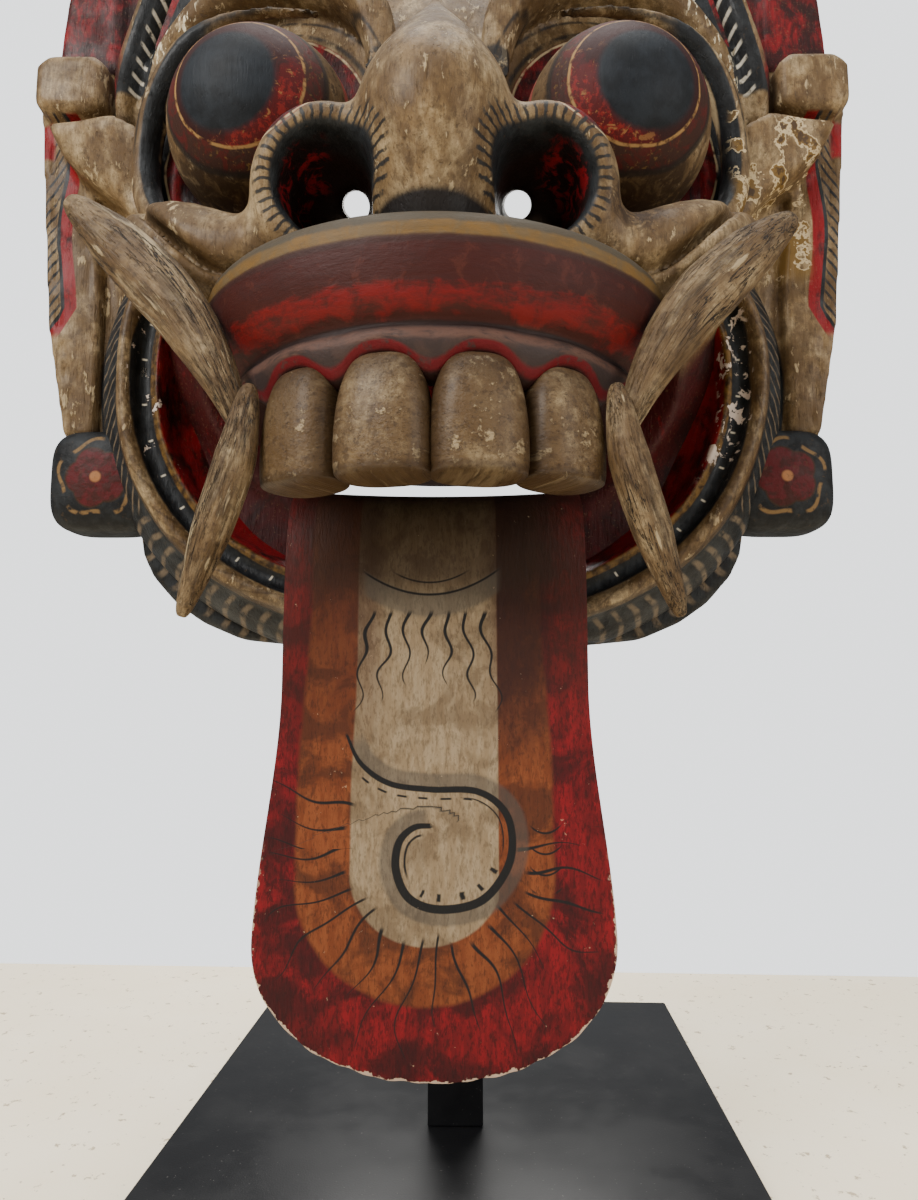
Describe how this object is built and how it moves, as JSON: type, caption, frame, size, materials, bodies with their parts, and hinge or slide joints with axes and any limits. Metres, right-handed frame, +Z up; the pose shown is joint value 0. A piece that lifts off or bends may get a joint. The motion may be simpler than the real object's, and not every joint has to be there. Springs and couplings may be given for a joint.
{
  "type": "barong mask on a display stand",
  "caption": "Carved and painted wooden spirit mask with bulging eyes, tusks, a toothed upper jaw and a long hanging tongue, held upright by a black steel bar on a flat plate.",
  "frame": {"origin": "centre of the underside of the stand's plate", "axes": "+Z up, the face looks towards -Y, +X to the viewer's right"},
  "size_m": [0.3123, 0.2514, 0.47],
  "materials": {
    "mask": "aged hand-painted wood, worn to beige, black, dark red and old gold",
    "tongue": "aged hand-painted wood, red, orange and beige with black line work",
    "tusk": "aged bare-looking beige paint with cracks along the grain",
    "steel": "satin black"
  },
  "bodies": {
    "root": {"mask": "mask", "tongue": "tongue", "tusk_left": "tusk", "tusk_right": "tusk", "fang_left": "tusk", "fang_right": "tusk", "stand_post": "steel", "stand_plate": "steel"}
  },
  "joints": []
}
